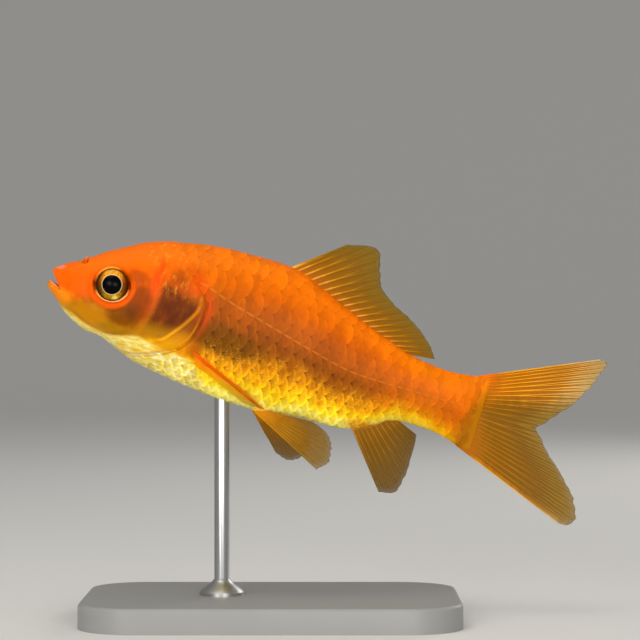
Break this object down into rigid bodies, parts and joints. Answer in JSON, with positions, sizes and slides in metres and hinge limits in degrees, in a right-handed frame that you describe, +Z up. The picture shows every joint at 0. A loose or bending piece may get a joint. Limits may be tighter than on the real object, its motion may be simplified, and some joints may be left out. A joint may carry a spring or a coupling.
{
  "type": "goldfish display model",
  "caption": "Life-size swimming goldfish with its head up, held over a flat base by one rod.",
  "frame": {"origin": "centre of the base's underside, on the surface that the model rests on", "axes": "+Z up, +X from the head towards the tail, -Y the fish's left side"},
  "size_m": [0.09, 0.04, 0.0606],
  "materials": {
    "skin": "wet gloss, orange back and flank, gold belly",
    "eye": "clear gloss over a gold iris and a black pupil",
    "fin": "translucent amber membrane between lighter rays",
    "stand_base": "satin paint",
    "stand_rod": "fine brushed"
  },
  "bodies": {
    "root": {"head": "skin", "lower_jaw": "skin", "gill_cover_left": "skin", "gill_cover_right": "skin", "trunk": "skin", "tail": "skin", "eye_left": "eye", "eye_right": "eye", "dorsal_fin": "fin", "anal_fin": "fin", "caudal_fin_upper": "fin", "caudal_fin_lower": "fin", "pectoral_fin_left": "fin", "pectoral_fin_right": "fin", "pelvic_fin_left": "fin", "pelvic_fin_right": "fin", "stand_base": "stand_base", "stand_rod": "stand_rod"}
  },
  "joints": []
}
